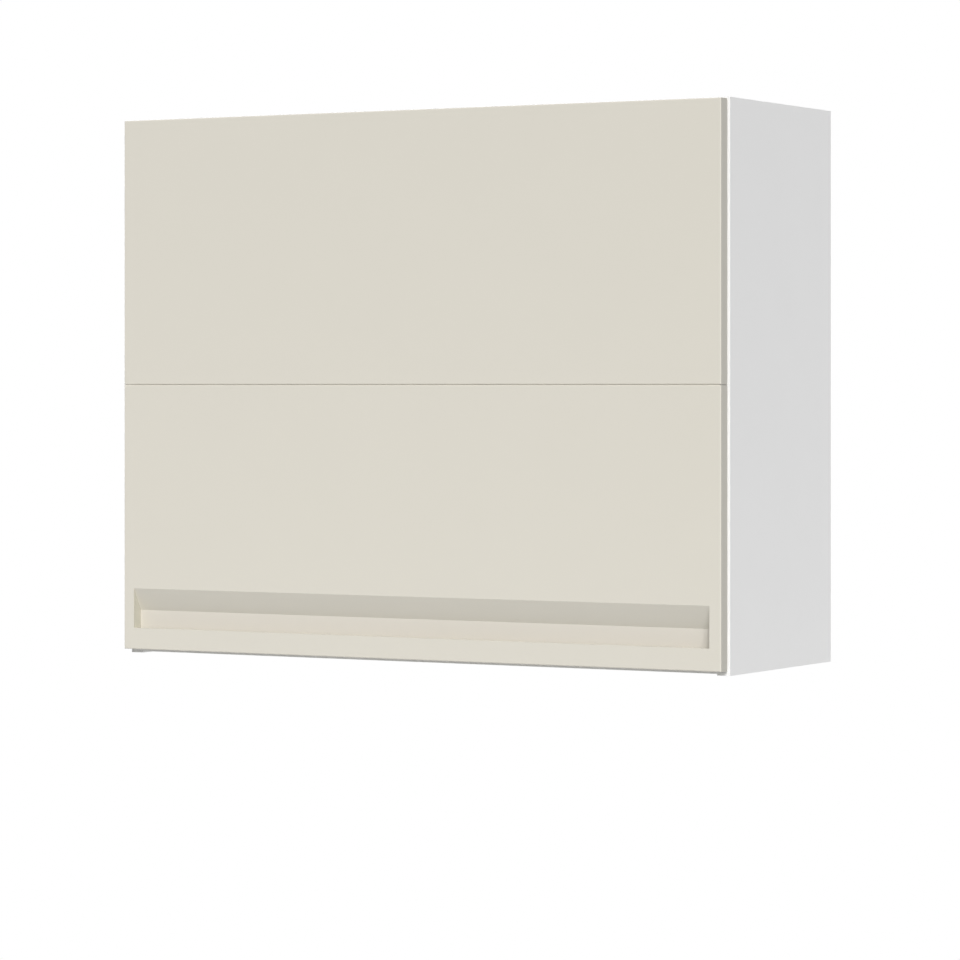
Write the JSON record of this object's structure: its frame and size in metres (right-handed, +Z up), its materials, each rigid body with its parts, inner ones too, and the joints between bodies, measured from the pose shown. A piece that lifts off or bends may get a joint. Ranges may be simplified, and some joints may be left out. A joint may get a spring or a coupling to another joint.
{
  "type": "lift up wall cabinet",
  "caption": "Wall cabinet with a folding lift-up front of two matte panels, a milled grip recess, spring lift units with cams and swing arms, an inner shelf and rear hanging hooks.",
  "frame": {"origin": "on the wall plane at mid width, level with the lower ends of the side panels", "axes": "+X to the viewer's right along the wall, +Y into the wall, +Z up; the fronts face -Y"},
  "size_m": [0.9, 0.321, 0.72],
  "materials": {
    "front_lacquer": "matte cream lacquer on board",
    "board_white": "white melamine on chipboard",
    "back_board": "white lacquered hardboard",
    "edge_band": "white edge banding",
    "zinc_steel": "bright zinc or nickel plate, satin",
    "bright_rod": "polished",
    "dark_steel": "hardened steel, satin",
    "spring_steel": "drawn spring wire",
    "beech": "plain beech",
    "clear_buffer": "soft translucent",
    "light_plastic": "fine grained light grey",
    "white_plastic": "fine grained white",
    "grey_nylon": "grey glass-filled nylon"
  },
  "bodies": {
    "root": {"side_panel_left": "board_white", "side_panel_right": "board_white", "top_panel": "board_white", "bottom_panel": "board_white", "back_panel": "back_board", "shelf": "board_white", "shelf_edge_band": "edge_band", "carcass_edge_bands": "edge_band", "shelf_pins": "zinc_steel", "connector_dowels": "beech", "cam_locks": "zinc_steel", "cam_bolts": "dark_steel", "cam_caps": "edge_band", "door_buffers": "clear_buffer", "carcass_screws": "zinc_steel", "hanger_body_left": "light_plastic", "hanger_body_right": "light_plastic", "hanger_hook_left": "zinc_steel", "hanger_hook_right": "zinc_steel", "hanger_cover_left": "white_plastic", "hanger_cover_right": "white_plastic", "hanger_adjusters": "zinc_steel", "lift_base_left": "zinc_steel", "lift_base_right": "zinc_steel", "lift_cover_left": "light_plastic", "lift_cover_right": "light_plastic", "lift_guide_rods": "zinc_steel", "lift_adjusters": "dark_steel", "springs_left": "spring_steel", "springs_right": "spring_steel", "hinge_arm_left": "zinc_steel", "hinge_arm_right": "zinc_steel", "hinge_plate_left": "zinc_steel", "hinge_plate_right": "zinc_steel"},
    "upper_flap": {"upper_front": "front_lacquer", "hinge_cup_left": "zinc_steel", "hinge_cup_right": "zinc_steel", "hinge_pins": "dark_steel", "fold_upper_leaf_left": "zinc_steel", "fold_upper_leaf_right": "zinc_steel", "fold_pins": "dark_steel", "upper_front_screws": "zinc_steel"},
    "lower_flap": {"lower_front": "front_lacquer", "grip_back_plate": "front_lacquer", "fold_lower_leaf_left": "zinc_steel", "fold_lower_leaf_right": "zinc_steel", "front_bracket_left": "zinc_steel", "front_bracket_right": "zinc_steel", "bracket_pins": "dark_steel", "lower_front_screws": "zinc_steel"},
    "arm_left": {"cam_left": "dark_steel", "arm_tube_left": "zinc_steel", "arm_rod_left": "bright_rod"},
    "slide_left": {"spring_slide_left": "grey_nylon"},
    "roller_left": {"roller_left": "zinc_steel"},
    "arm_right": {"cam_right": "dark_steel", "arm_tube_right": "zinc_steel", "arm_rod_right": "bright_rod"},
    "slide_right": {"spring_slide_right": "grey_nylon"},
    "roller_right": {"roller_right": "zinc_steel"}
  },
  "joints": [
    {"name": "front_lift", "type": "hinge", "parent": "root", "child": "upper_flap", "pos_m": [0, -0.312, 0.7115], "axis": [-1, 0, 0], "range_deg": [0, 104]},
    {"name": "front_fold", "type": "hinge", "parent": "upper_flap", "child": "lower_flap", "pos_m": [0, -0.298, 0.362], "axis": [-1, 0, 0], "range_deg": [-104, 0]},
    {"name": "arm_left_swing", "type": "hinge", "parent": "root", "child": "arm_left", "pos_m": [-0.3996, -0.276, 0.5335], "axis": [-1, 0, 0], "range_deg": [0, 104]},
    {"name": "arm_right_swing", "type": "hinge", "parent": "root", "child": "arm_right", "pos_m": [0.3996, -0.276, 0.5335], "axis": [-1, 0, 0], "range_deg": [0, 104]},
    {"name": "slide_left_travel", "type": "slide", "parent": "root", "child": "slide_left", "axis": [0, -1, 0], "range_m": [0, 0.01601], "deforming": ["springs_left"]},
    {"name": "slide_right_travel", "type": "slide", "parent": "root", "child": "slide_right", "axis": [0, -1, 0], "range_m": [0, 0.01601], "deforming": ["springs_right"]},
    {"name": "roller_left_spin", "type": "hinge", "parent": "slide_left", "child": "roller_left", "pos_m": [-0.418, -0.232, 0.5335], "axis": [-1, 0, 0], "continuous": true},
    {"name": "roller_right_spin", "type": "hinge", "parent": "slide_right", "child": "roller_right", "pos_m": [0.418, -0.232, 0.5335], "axis": [-1, 0, 0], "continuous": true}
  ],
  "couplings": [
    {"joint": "front_fold", "follows": "front_lift", "ratio": -1},
    {"joint": "arm_left_swing", "follows": "front_lift", "ratio": 1},
    {"joint": "arm_right_swing", "follows": "front_lift", "ratio": 1},
    {"joint": "slide_left_travel", "follows": "front_lift", "m_per_rad": 0.0088147},
    {"joint": "slide_right_travel", "follows": "front_lift", "m_per_rad": 0.0088147}
  ]
}
